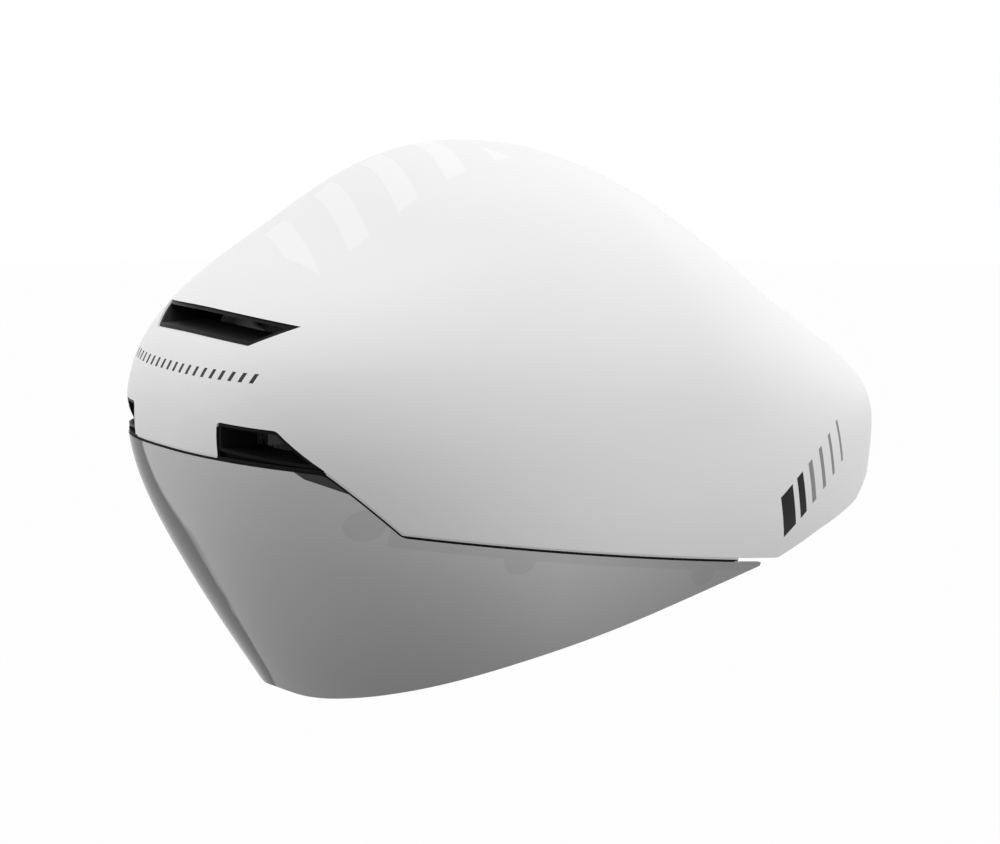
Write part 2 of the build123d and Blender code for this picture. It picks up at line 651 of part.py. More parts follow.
# Toothed strips: they lie one behind the other, and the pinion turns in a window through both
pinion_teeth = 8
pitch_radius = 4.0
pinion_tip = 4.7
pinion_root = 2.9
pinion_tip_width = 0.6
pinion_root_width = 1.4
tooth_pitch = 2 * pi * pitch_radius / pinion_teeth
strip_tooth_tip_width = 0.7
strip_tooth_root_width = 1.3
strip_tooth_gap = 0.4  # between the tips of one and the roots of the other
strip_wall = 1.6
strip_half_height = 7.0
strip_play = 0.3
strip_travel = 14.0
strip_end = 3.1  # the strip's end past its window
strip_reach = 43.0
strip_setback = 2.4
strip_front = stem_back + strip_setback
window_half_height = pinion_tip + strip_tooth_gap
window_play = 0.7


def toothed_strip(side, front):
    """One strip: side is 1 for the left, with teeth over the pinion, and -1 for the right, under it."""
    inner = -pinion_tip - window_play
    outer = strip_travel + pinion_tip + window_play
    face = Pos((strip_reach + inner - strip_end) / 2, 0) * Rectangle(
        strip_reach - inner + strip_end, 2 * strip_half_height)
    face -= Pos((inner + outer) / 2, 0) * Rectangle(outer - inner, 2 * window_half_height)
    tooth_tip = pinion_root + strip_tooth_gap
    for k in range(-1, int(strip_travel / tooth_pitch) + 1):
        middle = (k + 1 / 2) * tooth_pitch
        face += make_face(Polyline(
            (middle - strip_tooth_root_width / 2, window_half_height + strip_play),
            (middle - strip_tooth_root_width / 2, window_half_height),
            (middle - strip_tooth_tip_width / 2, tooth_tip), (middle + strip_tooth_tip_width / 2, tooth_tip),
            (middle + strip_tooth_root_width / 2, window_half_height),
            (middle + strip_tooth_root_width / 2, window_half_height + strip_play), close=True))
    solid = Pos(0, front + strip_wall, fit_level) * extrude(front_view * face, amount=strip_wall)
    if side < 0:
        turned = Rot(0, 180, 0) * Pos(0, 0, -fit_level) * solid
        solid = Pos(0, 0, fit_level) * turned
    return solid


strip_fronts = {1: strip_front, -1: strip_front + strip_wall + strip_play}
pieces["toothed_strip_left"] = toothed_strip(1, strip_fronts[1])
pieces["toothed_strip_right"] = toothed_strip(-1, strip_fronts[-1])

# Pinion on the dial's shaft
tooth = make_face(Polyline(
    (-pinion_root_width / 2, 0), (pinion_root_width / 2, 0),
    (pinion_root_width / 2, pinion_root), (pinion_tip_width / 2, pinion_tip),
    (-pinion_tip_width / 2, pinion_tip), (-pinion_root_width / 2, pinion_root), close=True))
shaft_radius = 2.0
pinion_face = Circle(pinion_root)
for k in range(pinion_teeth):
    pinion_face += Rot(0, 0, 360 * k / pinion_teeth) * tooth
pinion_face -= Circle(shaft_radius + fit_clearance)
pinion_back = strip_fronts[-1] + strip_wall
pieces["drive_pinion"] = Pos(0, pinion_back, fit_level) * extrude(
    front_view * pinion_face, amount=pinion_back - strip_front)

# Housing and dial
housing_half_length = 24.0
housing_half_height = 10.5
housing_wall = 2.2
housing_back = pinion_back + strip_play + housing_wall
shaft_front = stem_back + housing_wall / 2
housing = block((-housing_half_length, hollow_rear / 2, fit_level - housing_half_height),
                (housing_half_length, housing_back, fit_level + housing_half_height))
housing = housing - hollow(cradle_inset) - stem
housing -= block((-housing_half_length, strip_front - strip_play, fit_level - strip_half_height - strip_play),
                 (housing_half_length, pinion_back + strip_play, fit_level + strip_half_height + strip_play))
housing -= Pos(0, shaft_front - fit_clearance, fit_level) * Rot(-90, 0, 0) * Cylinder(
    shaft_radius + fit_clearance, overrun, align=(Align.CENTER, Align.CENTER, Align.MIN))
pieces["dial_housing"] = housing
dial_radius = 13.0
dial_thickness = 7.0
dial_gap = 0.4
dial_grips = 14
grip_radius = 1.6
dial_chamfer = 1.0
dial_front = housing_back + dial_gap
dial_face = Circle(dial_radius)
for k in range(dial_grips):
    dial_face -= Rot(0, 0, 360 * k / dial_grips) * Pos(dial_radius + grip_radius / 3, 0) * Circle(grip_radius)
dial = Pos(0, dial_front + dial_thickness, fit_level) * extrude(front_view * dial_face, amount=dial_thickness)
dial = chamfer(dial.faces().sort_by(Axis.Y)[-1].edges(), dial_chamfer / 2)
dial += Pos(0, shaft_front, fit_level) * Rot(-90, 0, 0) * Cylinder(
    shaft_radius, dial_front - shaft_front + dial_gap, align=(Align.CENTER, Align.CENTER, Align.MIN))
pieces["dial_knob"] = dial

# Belt arms: they run from a sleeve over the strip's end forward to a clip at the temple
arm_height = 12.0
arm_wall = 2.0
sleeve_wall = 1.2
sleeve_start = housing_half_length + 1.0
sleeve_end = strip_reach + 1.0
arm_shares = [
    (0.62, 0.893), (0.66, 0.78), (0.655, 0.68), (0.755, 0.485), (0.85, 0.214), (0.88, 0.0), (0.865, -0.238),
]
tab_inset = 6.5
tab_place = -54.0
tab_half_width = 6.0
tab_half_height = 12.0
stud_radius = 2.0
stud_head_radius = 3.5
stud_head = 1.2
height_travel = 6.0
tab_slot_half_height = stud_radius + height_travel + strip_play
clip_half_width = 8.0
clip_low = -18.0
clip_high = 20.0
clip_wall = 1.6
tab_seat = side_seat(hollow(tab_inset), tab_place, fit_level)


def band_face(points, wall):
    """A band of even width along a smooth line through points, seen from above."""
    sides = ([], [])
    for k, point in enumerate(points):
        ahead = points[min(k + 1, len(points) - 1)] - points[max(k - 1, 0)]
        across = Vector(-ahead.Y, ahead.X).normalized() * wall / 2
        sides[0].append(point + across)
        sides[1].append(point - across)
    return make_face([Spline(*sides[0]), Line(sides[0][-1], sides[1][-1]),
                      Spline(*sides[1]), Line(sides[1][0], sides[0][0])])


def belt_arm(front):
    """The left arm, with its sleeve round a strip whose front face is at front."""
    points = [Vector(sleeve_end + sleeve_wall / 2, front + strip_wall / 2)]
    for x, y in arm_shares:
        points.append(Vector(x * hollow_half_width, y * (hollow_front if y < 0 else hollow_rear)))
    points.append(Vector(tab_seat.origin.X, tab_seat.origin.Y))
    arm = Pos(0, 0, fit_level - arm_height / 2) * extrude(band_face(points, arm_wall), amount=arm_height)
    tab = block((-tab_half_width, -tab_half_height, -arm_wall / 2),
                (tab_half_width, tab_half_height, arm_wall / 2))
    arm = arm + tab_seat * tab
    room = strip_play + sleeve_wall
    height = strip_half_height + room
    arm = arm + block((sleeve_start, front - room, fit_level - height),
                      (sleeve_end + sleeve_wall, front + strip_wall + room, fit_level + height))
    height = strip_half_height + strip_play
    arm = arm - block((sleeve_start, front - strip_play, fit_level - height),
                      (sleeve_end, front + strip_wall + strip_play, fit_level + height))
    slot = block((-stud_radius - fit_clearance, -tab_slot_half_height, -arm_wall),
                 (stud_radius + fit_clearance, tab_slot_half_height, arm_wall))
    return arm - tab_seat * slot


pieces["belt_arm_left"] = belt_arm(strip_fronts[1])
pieces["belt_arm_right"] = mirrored(belt_arm(strip_fronts[-1]))
clip_face = Pos(tab_place, (clip_low + clip_high) / 2) * RectangleRounded(
    2 * clip_half_width, clip_high - clip_low, clip_half_width / 2)
clip = pad(side_prism(clip_face, inner=0), clip_wall)
stud_play = 0.9
head_back = arm_wall / 2 + stud_play
stud_length = head_back + tab_inset - pad_inset - clip_wall / 2
clip += tab_seat * Pos(0, 0, -head_back) * Cylinder(
    stud_radius, stud_length, align=(Align.CENTER, Align.CENTER, Align.MIN))
clip += tab_seat * Pos(0, 0, -head_back) * Cylinder(
    stud_head_radius, stud_head, align=(Align.CENTER, Align.CENTER, Align.MAX))
pair("belt_clip", clip)

pieces["foam_liner"] = liner
pieces["slip_liner"] = slip

os.makedirs("parts", exist_ok=True)
for name, solid in pieces.items():
    export_step(solid, f"parts/{name}.step")
    print(name, len(solid.solids()), round(solid.volume), solid.is_valid)
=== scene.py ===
import math

import bpy
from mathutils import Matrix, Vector


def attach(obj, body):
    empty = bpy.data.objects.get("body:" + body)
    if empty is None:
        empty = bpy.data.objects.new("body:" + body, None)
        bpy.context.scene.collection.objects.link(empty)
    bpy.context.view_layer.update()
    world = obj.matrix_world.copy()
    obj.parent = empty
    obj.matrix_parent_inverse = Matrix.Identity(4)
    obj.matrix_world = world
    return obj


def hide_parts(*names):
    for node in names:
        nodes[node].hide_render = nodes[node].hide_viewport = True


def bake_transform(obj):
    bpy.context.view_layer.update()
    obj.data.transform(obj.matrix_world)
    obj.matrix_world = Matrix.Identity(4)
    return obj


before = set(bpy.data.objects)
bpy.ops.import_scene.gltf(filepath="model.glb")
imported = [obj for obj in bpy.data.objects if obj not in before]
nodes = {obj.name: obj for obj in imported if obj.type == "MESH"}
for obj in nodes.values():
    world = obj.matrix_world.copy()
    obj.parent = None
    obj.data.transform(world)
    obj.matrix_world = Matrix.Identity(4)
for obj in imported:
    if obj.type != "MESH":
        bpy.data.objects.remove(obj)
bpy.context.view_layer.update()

# Camera: a little above the visor, three quarters from the front on the wearer's left, where the
# helmet's front, its vents and its whole left side show at once.
azimuth, elevation = math.radians(56), math.radians(9)
camera_distance = 1.5
back = Vector((math.sin(azimuth) * math.cos(elevation), -math.cos(azimuth) * math.cos(elevation),
               math.sin(elevation)))
bpy.ops.object.camera_add(location=back * camera_distance)
camera = bpy.context.object
camera.name = "camera"
camera.rotation_mode = "QUATERNION"
camera.rotation_quaternion = (-back).to_track_quat("-Z", "Y")
camera.data.lens = 143.1
camera.data.sensor_width = 36
camera.data.shift_x = 0.0404
camera.data.shift_y = -0.0116
bpy.context.scene.camera = camera
bpy.context.scene.view_settings.view_transform = "Standard"


# Studio: a wide pale floor under the hanging helmet, a white surround and three soft lamps. The
# floor and surround show as white, while what they send to the helmet stays at a plain level.
class Signal:
    """A value inside a material, which adds, multiplies and compares as a number does."""

    def __init__(self, finish, socket):
        self.finish, self.socket = finish, socket

    def maths(self, operation, *values):
        return self.finish.node("ShaderNodeMath", {"operation": operation}, dict(enumerate(values)))

    def __add__(self, other):
        return self.maths("ADD", self, other)

    def __sub__(self, other):
        return self.maths("SUBTRACT", self, other)

    def __rsub__(self, other):
        return self.maths("SUBTRACT", other, self)

    def __mul__(self, other):
        return self.maths("MULTIPLY", self, other)

    def __pow__(self, other):
        return self.maths("POWER", self, other)

    def __mod__(self, other):
        return self.maths("FLOORED_MODULO", self, other)

    def __abs__(self):
        return self.maths("ABSOLUTE", self)

    def __gt__(self, other):
        return self.maths("GREATER_THAN", self, other)

    def __lt__(self, other):
        return self.maths("LESS_THAN", self, other)

    def sine(self):
        return self.maths("SINE", self)

    def root(self):
        return self.maths("SQRT", self)

    def higher(self, other):
        return self.maths("MAXIMUM", self, other)

    def lower(self, other):
        return self.maths("MINIMUM", self, other)

    def clamped(self):
        return self.higher(0).lower(1)

    def between(self, low, high):
        return (self > low) * (self < high)

    __radd__ = __add__


surface_sockets = {"roughness": "Roughness", "metallic": "Metallic", "coat": "Coat Weight",
                   "coat_roughness": "Coat Roughness", "specular_level": "Specular IOR Level",
                   "sheen": "Sheen Weight", "sheen_roughness": "Sheen Roughness"}
mix_amount, mix_first, mix_second, mix_result = 0, 6, 7, 2  # a Mix node's sockets for colours


class Finish:
    """A material, or the surround's shader, built node by node."""

    def __init__(self, name, owner=None, **surface):
        self.owner = owner or bpy.data.materials.new(name)
        self.owner.use_nodes = True
        self.nodes = self.owner.node_tree.nodes
        self.links = self.owner.node_tree.links
        self.surface = self.nodes.get("Principled BSDF")
        for socket, value in surface.items():
            self.put(surface_sockets[socket], value)

    def node(self, kind, settings=None, inputs=None, output=0):
        made = self.nodes.new(kind)
        for setting, value in (settings or {}).items():
            setattr(made, setting, value)
        for socket, value in (inputs or {}).items():
            self.feed(made.inputs[socket], value)
        return Signal(self, made.outputs[output])

    def feed(self, socket, value):
        if isinstance(value, Signal):
            self.links.new(value.socket, socket)
        elif socket.type == "RGBA" and len(value) == 3:
            socket.default_value = (*value, 1)
        else:
            socket.default_value = value

    def put(self, socket, value):
        self.feed(self.surface.inputs[socket], value)

    def place(self, source="Object"):
        return self.node("ShaderNodeTexCoord", output=source)

    def axes(self, source="Object"):
        where = self.place(source)
        return [self.node("ShaderNodeSeparateXYZ", inputs={0: where}, output=axis) for axis in range(3)]

    def noise(self, scale, detail=2):
        return self.node("ShaderNodeTexNoise", inputs={
            "Vector": self.place(), "Scale": scale, "Detail": detail})

    def blend(self, amount, first, second):
        return self.node("ShaderNodeMix", {"data_type": "RGBA"}, {
            mix_amount: amount, mix_first: first, mix_second: second}, mix_result)

    def bump(self, height, depth, strength=1):
        self.put("Normal", self.node("ShaderNodeBump", inputs={
            "Height": height, "Distance": depth, "Strength": strength}))

    def on(self, *names):
        for name in names:
            nodes[name].material_slots[0].material = self.owner


def white_to_the_eye(finish, shader, share):
    """Shows white where it is seen straight, in a reflection or through a lens, else as the shader is."""
    path = finish.nodes.new("ShaderNodeLightPath")
    seen = Signal(finish, path.outputs["Is Camera Ray"])
    for ray in ("Is Glossy Ray", "Is Transmission Ray"):
        seen = seen.higher(Signal(finish, path.outputs[ray]))
    glow = finish.node("ShaderNodeEmission", inputs={"Color": (1, 1, 1), "Strength": 1})
    return finish.node("ShaderNodeMixShader", inputs={0: seen * share, 1: shader, 2: glow})


floor_level = -0.42
floor_grey = (0.22, 0.22, 0.22)
floor_fleck = (0.26, 0.26, 0.26)
floor_white_share = 0.985
bpy.ops.mesh.primitive_circle_add(vertices=96, radius=4, fill_type="NGON", location=(0, 0, floor_level))
floor = bpy.context.object
floor.name = "floor"
pale = Finish("pale_floor", roughness=0.9)
pale.put("Base Color", pale.blend(pale.noise(scale=40) * 0.1, floor_grey, floor_fleck))
shown = white_to_the_eye(pale, Signal(pale, pale.surface.outputs[0]), floor_white_share)
pale.links.new(shown.socket, pale.nodes["Material Output"].inputs["Surface"])
floor.data.materials.append(pale.owner)

surround = Finish("surround", bpy.data.worlds.new("surround"))
bpy.context.scene.world = surround.owner
sky = surround.nodes["Background"]
sky.inputs["Color"].default_value = (1, 1, 1, 1)
sky.inputs["Strength"].default_value = 0.62
shown = white_to_the_eye(surround, Signal(surround, sky.outputs[0]), 1)
surround.links.new(shown.socket, surround.nodes["World Output"].inputs["Surface"])

lamps = {
    "lamp_above": {"where": (0.1, -0.1, 1.5), "size": 1.8, "power": 5.5},
    "lamp_right": {"where": (1.2, 1.05, 0.95), "size": 1.3, "power": 14},
    "lamp_left": {"where": (-0.9, -1.2, 0.6), "size": 1.2, "power": 8},
}
for name, values in lamps.items():
    bpy.ops.object.light_add(type="AREA", location=values["where"])
    lamp = bpy.context.object
    lamp.name = name
    lamp.data.size = values["size"]
    lamp.data.energy = values["power"]
    lamp.rotation_mode = "QUATERNION"
    lamp.rotation_quaternion = (-Vector(values["where"])).to_track_quat("-Z", "Y")

# Outer shell: thermoformed polycarbonate, sprayed matt white. Gloss bars on the crown, a row of
# fine slanted ticks over the brow and slanted bars at the rear corners are plain generic trim. The
# wall cut through the shell is black at the inner side of each brow vent.
shell_white = (0.855, 0.855, 0.855)
shell_mist = (0.78, 0.78, 0.785)
gloss_white = (0.93, 0.93, 0.93)
trim_grey = (0.13, 0.13, 0.135)
trim_black = (0.002, 0.002, 0.002)
tick_grey = (0.03, 0.03, 0.031)
shell = Finish("shell_matt_white", specular_level=0.15)
x, y, z = shell.axes()

crown_pitch = 0.021
crown_bar = 0.0085
crown_slant = 0.35
crown_start = -0.1
crown_sides = (-0.024, 0.032)
crown_run = (-0.082, 0.0)
crown_foot = 0.055
crown = (y + x * crown_slant - crown_start) % crown_pitch < crown_bar
crown = crown * x.between(*crown_sides) * y.between(*crown_run) * (z > crown_foot)

tick_pitch = 0.0046
tick_width = 0.0016
tick_slant = 0.3
tick_sides = (-0.0445, 0.0435)
tick_levels = (0.0252, 0.0285)
tick_rear = -0.09
ticks = (x - z * tick_slant) % tick_pitch < tick_width
ticks = ticks * x.between(*tick_sides) * z.between(*tick_levels) * (y < tick_rear)

bars_turn = math.radians(36)
bars_foot_y, bars_foot_z = 0.0815, -0.0425
bars_height = 0.0165
bars_slant = 0.3
dark_bar_spans = ((0, 0.0075), (0.0105, 0.0145))
grey_bar_spans = ((0.0185, 0.0212), (0.0262, 0.0284), (0.0336, 0.0354), (0.041, 0.0425))
along = (y - bars_foot_y) * math.cos(bars_turn) + (z - bars_foot_z) * math.sin(bars_turn)
across = (z - bars_foot_z) * math.cos(bars_turn) - (y - bars_foot_y) * math.sin(bars_turn)
tall = across.between(0, bars_height)
slanted = along - across * bars_slant
dark_bars = tall * sum(slanted.between(*span) for span in dark_bar_spans)
grey_bars = tall * sum(slanted.between(*span) for span in grey_bar_spans)

vent_wall_sides = (0.02945, 0.03)
vent_wall_top = 0.009
vent_wall_rear = -0.1
vent_wall = abs(x).between(*vent_wall_sides) * (z < vent_wall_top) * (y < vent_wall_rear)

mist = shell.noise(scale=55, detail=3)
colour = shell.blend(mist * 0.06, shell_white, shell_mist)
colour = shell.blend(crown * 0.5, colour, gloss_white)
colour = shell.blend(ticks, colour, tick_grey)
colour = shell.blend(grey_bars * 0.8, colour, trim_grey)
colour = shell.blend(dark_bars, colour, trim_black)
colour = shell.blend(vent_wall, colour, trim_black)
shell.put("Base Color", colour)
shell.put("Roughness", (mist * 0.08 + 0.42) * (1 - crown * 0.25))
shell.bump(shell.noise(scale=1400) + shell.noise(scale=260) * 2, depth=0.00002, strength=0.5)
shell.on("outer_shell")

# Seal strip: a thin rubber bead in the joint between the shell's edge and the visor. It is white
# along the shell and black below, and all black where it crosses a brow vent.
seal_black = (0.003, 0.003, 0.003)
white_height = 0.0007
shell_edge_points = ((-0.1465, 0.0005), (-0.1021, -0.0037), (-0.078, -0.0265), (0.06, -0.0475))
vent_sides = (0.0286, 0.0668)
vent_rear = -0.08
seal = Finish("seal_rubber", specular_level=0.12)
x, y, z = seal.axes()
brow, slant, cheek = (
    (y - start[0]) * ((end[1] - start[1]) / (end[0] - start[0])) + start[1]
    for start, end in zip(shell_edge_points, shell_edge_points[1:]))
shell_edge = brow.lower(slant.higher(cheek))
in_vent = abs(x).between(*vent_sides) * (y < vent_rear)
white = (shell_edge - z < white_height) * (1 - in_vent)
seal.put("Base Color", seal.blend(white, seal_black, shell_white))
seal.put("Roughness", seal.noise(scale=900) * 0.2 + 0.6)
seal.bump(seal.noise(scale=2600), depth=0.00002)
seal.on("seal_strip")


# Visor: one lens of injected polycarbonate, smoke grey with a light silver coat and a hard gloss.
# Its tint is painted lighter towards the top and the front and darker towards the bottom rear, as
# painted light and shade. It deepens where the eye meets it at a low angle, as a tinted sheet does.
# The seat's flange, its magnet bosses and the dark lip under each brow vent show faintly through it.
def above(y, z, through, slope):
    """Where a place in the side view lies above a line of that slope through a point."""
    return z - (y - through[0]) * slope > through[1]


lens_painted_shade_tone = (0.4, 0.4, 0.405)
lens_painted_light_tone = (0.67, 0.67, 0.675)
lens_haze = (0.36, 0.36, 0.365)
lens_edge = (0.09, 0.09, 0.091)
flange_grey = (0.05, 0.05, 0.05)
lip_grey = (0.02, 0.02, 0.02)
lens = Finish("visor_smoke", coat=0.03, coat_roughness=0.08, specular_level=0.06)
x, y, z = lens.axes()

# Painted light and shade: the lens colour is lighter towards the top and the front, darker towards the bottom
# rear.
painted_light_foot, painted_light_rise = -0.09, 16
painted_light_rear, painted_light_fall = 0.05, 14
lens_painted_light = (((z - painted_light_foot) * painted_light_rise).clamped() * 0.6 + 0.4) * ((painted_light_rear - y) * painted_light_fall).clamped()

edge_start, edge_gain = 0.675, 50
low_angle = lens.node("ShaderNodeLayerWeight", inputs={"Blend": 0.5}, output="Facing")
lens_rim = ((low_angle - edge_start) * edge_gain).clamped()

flange_front = -0.082
boss_places = ((-0.0891, -0.0235), (-0.038, -0.0373), (0.041, -0.0497))
boss_radius = 0.006
flange = above(y, z, through=(0, -0.0434), slope=-0.148) * (y > flange_front)
for boss_y, boss_z in boss_places:
    boss = (y - boss_y) ** 2 + (z - boss_z) ** 2 < boss_radius ** 2
    flange = flange.higher(boss)

lip_run = (-0.1112, -0.0935)
lip = (above(y, z, through=(-0.1105, -0.0035), slope=-0.95)
       * above(y, z, through=(-0.106, -0.0074), slope=-0.42) * y.between(*lip_run))

tint = lens.blend(lens_painted_light, lens_painted_shade_tone, lens_painted_light_tone)
tint = lens.blend(lens.noise(scale=18) * 0.12, tint, lens_haze)
tint = lens.blend(flange * 0.09, tint, flange_grey)
tint = lens.blend(lens_rim * 0.9, tint, lens_edge)
tint = lens.blend(lip * 0.93, tint, lip_grey)
lens.put("Base Color", tint)
lens.put("Alpha", 0.95)
lens.put("Roughness", lens.noise(scale=300, detail=3) * 0.05 + 0.12)
lens.bump(lens.noise(scale=35, detail=1), depth=0.00006, strength=0.3)
lens.on("visor_lens")

# Visor seat, vent ducts and their lips: moulded in black nylon with a fine spark-eroded grain,
# clipped in behind the shell's edge and the vents. The upper duct is painted a shade paler, a painted sheen.
seat_black = (0.003, 0.003, 0.0033)
seat_grain_and_painted_sheen = (0.011, 0.011, 0.012)
upper_duct_foot = 0.03
black = Finish("seat_black", specular_level=0.06)
grain = black.noise(scale=3200)
# Painted sheen: the upper duct's black is painted paler; the same paler tone also serves the random grain.
upper_duct_painted_sheen = black.axes()[2] > upper_duct_foot
black.put("Base Color", black.blend(grain + upper_duct_painted_sheen, seat_black, seat_grain_and_painted_sheen))
black.put("Roughness", grain * 0.25 + 0.32)
black.bump(grain, depth=0.00004, strength=0.6)
black.on("visor_seat_rim", "upper_vent_duct", "brow_vent_duct_left", "brow_vent_duct_right")

# Magnets: nickel-plated discs, glued to the visor's inner face and into the seat's bosses. Fine
# brushed streaks cross the plating.
nickel_dark = (0.6, 0.58, 0.55)
nickel_light = (0.72, 0.7, 0.67)
nickel = Finish("nickel", metallic=1.0)
stretched = nickel.node("ShaderNodeMapping", inputs={"Vector": nickel.place(), "Scale": (1, 12, 1)})
streaks = nickel.node("ShaderNodeTexNoise", inputs={"Vector": stretched, "Scale": 900, "Detail": 3})
nickel.put("Base Color", nickel.blend(streaks, nickel_dark, nickel_light))
nickel.put("Roughness", streaks * 0.25 + 0.15)
nickel.on("seat_magnets_left", "seat_magnets_right", "visor_magnets_left", "visor_magnets_right")

# Foam liner: black bead foam, moulded into the shell. Its skin shows the pressed beads, each a
# little different from the next, with dark seams between them.
bead_scale = 330
bead_black = (0.03, 0.03, 0.031)
seam_black = (0.012, 0.012, 0.012)
foam = Finish("bead_foam")
bead_inputs = {"Vector": foam.place(), "Scale": bead_scale, "Randomness": 0.8}
to_seam = foam.node("ShaderNodeTexVoronoi", {"feature": "DISTANCE_TO_EDGE"}, bead_inputs)
bead_tone = foam.node("ShaderNodeTexVoronoi", inputs=bead_inputs, output="Color")
seam = 1 - (to_seam * 9).lower(1)
beads = foam.blend(0.3, bead_black, bead_tone * 0.05)
foam.put("Base Color", foam.blend(seam, beads, seam_black))
foam.put("Roughness", seam * 0.15 + 0.68)
foam.bump((to_seam * 5).lower(1), depth=0.0004, strength=0.6)
foam.on("foam_liner")

# Slip liner: a thin cap of smoke-black low-friction sheet, pierced over the air channels. It is
# thermoformed, so its sheen ripples a little.
slip_dark = (0.02, 0.02, 0.021)
slip_light = (0.035, 0.035, 0.036)
slip = Finish("slip_sheet")
ripple = slip.noise(scale=120, detail=3)
slip.put("Base Color", slip.blend(ripple, slip_dark, slip_light))
slip.put("Roughness", ripple * 0.2 + 0.25)
slip.bump(slip.noise(scale=1800), depth=0.00002)
slip.on("slip_liner")

# Slip anchors and strap keeper: small soft elastomer mouldings that stretch and slide. Their
# black has a faint grey bloom.
elastomer_black = (0.012, 0.012, 0.012)
bloom_grey = (0.03, 0.03, 0.03)
elastomer = Finish("elastomer", roughness=0.6)
bloom = elastomer.noise(scale=700, detail=3)
elastomer.put("Base Color", elastomer.blend(bloom, elastomer_black, bloom_grey))
elastomer.bump(bloom, depth=0.00003)
elastomer.on("slip_anchor_front", "slip_anchor_rear", "slip_anchor_left", "slip_anchor_right", "strap_keeper")

# Strap anchors, dividers, levers, buckle and the fit system: black acetal and nylon mouldings
# with a matt grain, faintly polished by wear. The levers and the buckle's male half are grey.
fitting_dark = (0.013, 0.013, 0.014)
fitting_light = (0.026, 0.026, 0.028)
fitting = Finish("fitting_black")
grain = fitting.noise(scale=2400)
rub = fitting.noise(scale=90, detail=3)
fitting.put("Base Color", fitting.blend(grain, fitting_dark, fitting_light))
fitting.put("Roughness", grain * 0.15 + (1 - rub) * 0.25 + 0.28)
fitting.bump(grain, depth=0.00004, strength=0.6)
fitting.on("front_strap_anchor_left", "front_strap_anchor_right", "rear_strap_anchor_left",
           "rear_strap_anchor_right", "strap_divider_left", "strap_divider_right", "buckle_female",
           "cradle_frame", "cradle_guide", "toothed_strip_left", "toothed_strip_right", "drive_pinion",
           "dial_housing", "belt_arm_left", "belt_arm_right", "belt_clip_left", "belt_clip_right")
accent_dark = (0.1, 0.1, 0.105)
accent_light = (0.14, 0.14, 0.145)
accent = Finish("fitting_grey")
grain = accent.noise(scale=2400)
accent.put("Base Color", accent.blend(grain, accent_dark, accent_light))
accent.put("Roughness", grain * 0.2 + 0.32)
accent.bump(grain, depth=0.00004, strength=0.6)
accent.on("divider_lever_left", "divider_lever_right", "buckle_male")

# Dial: an over-moulded rubber wheel with fourteen grips, turned by finger and thumb. Fine turned
# rings cross its face.
dial_level = -0.013
ring_scale = 4200
ringed_radii = (0.004, 0.0095)
rubber_dark = (0.015, 0.015, 0.015)
rubber_light = (0.028, 0.028, 0.028)
grip = Finish("dial_rubber", roughness=0.6)
x, y, z = grip.axes()
level = z - dial_level
radius = (x * x + level * level).root()
rings = (radius * ring_scale).sine()
grip.put("Base Color", grip.blend(grip.noise(scale=900), rubber_dark, rubber_light))
grip.bump(rings * radius.between(*ringed_radii), depth=0.0001, strength=0.5)
grip.on("dial_knob")

# Brow pad: foam in a brushed charcoal knit with fine wales and courses, held to the slip liner
# by hook and loop. Sewn channels cross it, and its back lies flat against the liner.
knit_light = (0.06, 0.06, 0.065)
knit_dark = (0.018, 0.018, 0.02)
wale_scale, course_scale = 6200, 5200
charcoal = Finish("charcoal_knit", roughness=0.9, sheen=0.35, sheen_roughness=0.4)
x, y, z = charcoal.axes()
wale = ((x + y) * wale_scale).sine() * ((z + y * 0.4 - x * 0.3) * course_scale).sine()
fleck = charcoal.noise(scale=1300, detail=4)
charcoal.put("Base Color", charcoal.blend(fleck * 0.7 + wale * 0.15 + 0.1, knit_dark, knit_light))
charcoal.bump(wale + fleck, depth=0.00012, strength=0.5)

hollow_size = Vector((0.084, 0.105, 0.077))
hollow_rear = 0.103
hollow_power = 2.2
pad_room = 0.0026
pad_voxel = 0.0022
pad_pressure = 4
swell_steps = 20
greatest_swell = 0.0012
groove_width = 0.0016
groove_share = 0.28
brow_channels = (-0.045, -0.027, -0.009, 0.009, 0.027, 0.045)


def hollow_reach(point, inset):
    """How far out a point lies in the head hollow: one on its wall drawn in by inset, less inside."""
    length = hollow_size.y if point.y < 0 else hollow_rear
    reaches = (abs(point.x / (hollow_size.x - inset)), abs(point.y / (length - inset)),
               max(point.z, 0) / (hollow_size.z - inset))
    return sum(reach ** hollow_power for reach in reaches) ** (1 / hollow_power)


def swell(pad):
    """Blows a pad up by simulated pressure, no point further than the greatest swell."""
    start = [vertex.co.copy() for vertex in pad.data.vertices]
    cloth = pad.modifiers.new("swell", "CLOTH")
    cloth.settings.use_pressure = True
    cloth.settings.uniform_pressure_force = pad_pressure
    cloth.settings.effector_weights.gravity = 0
    cloth.settings.quality = 5
    for step in range(1, swell_steps + 1):
        bpy.context.scene.frame_set(step)
    swollen = pad.evaluated_get(bpy.context.evaluated_depsgraph_get())
    moved = [vertex.co.copy() for vertex in swollen.data.vertices]
    pad.modifiers.remove(cloth)
    bpy.context.scene.frame_set(1)
    for vertex, old, new in zip(pad.data.vertices, start, moved):
        shift = new - old
        vertex.co = old + shift * min(1, greatest_swell / max(shift.length, 1e-9))


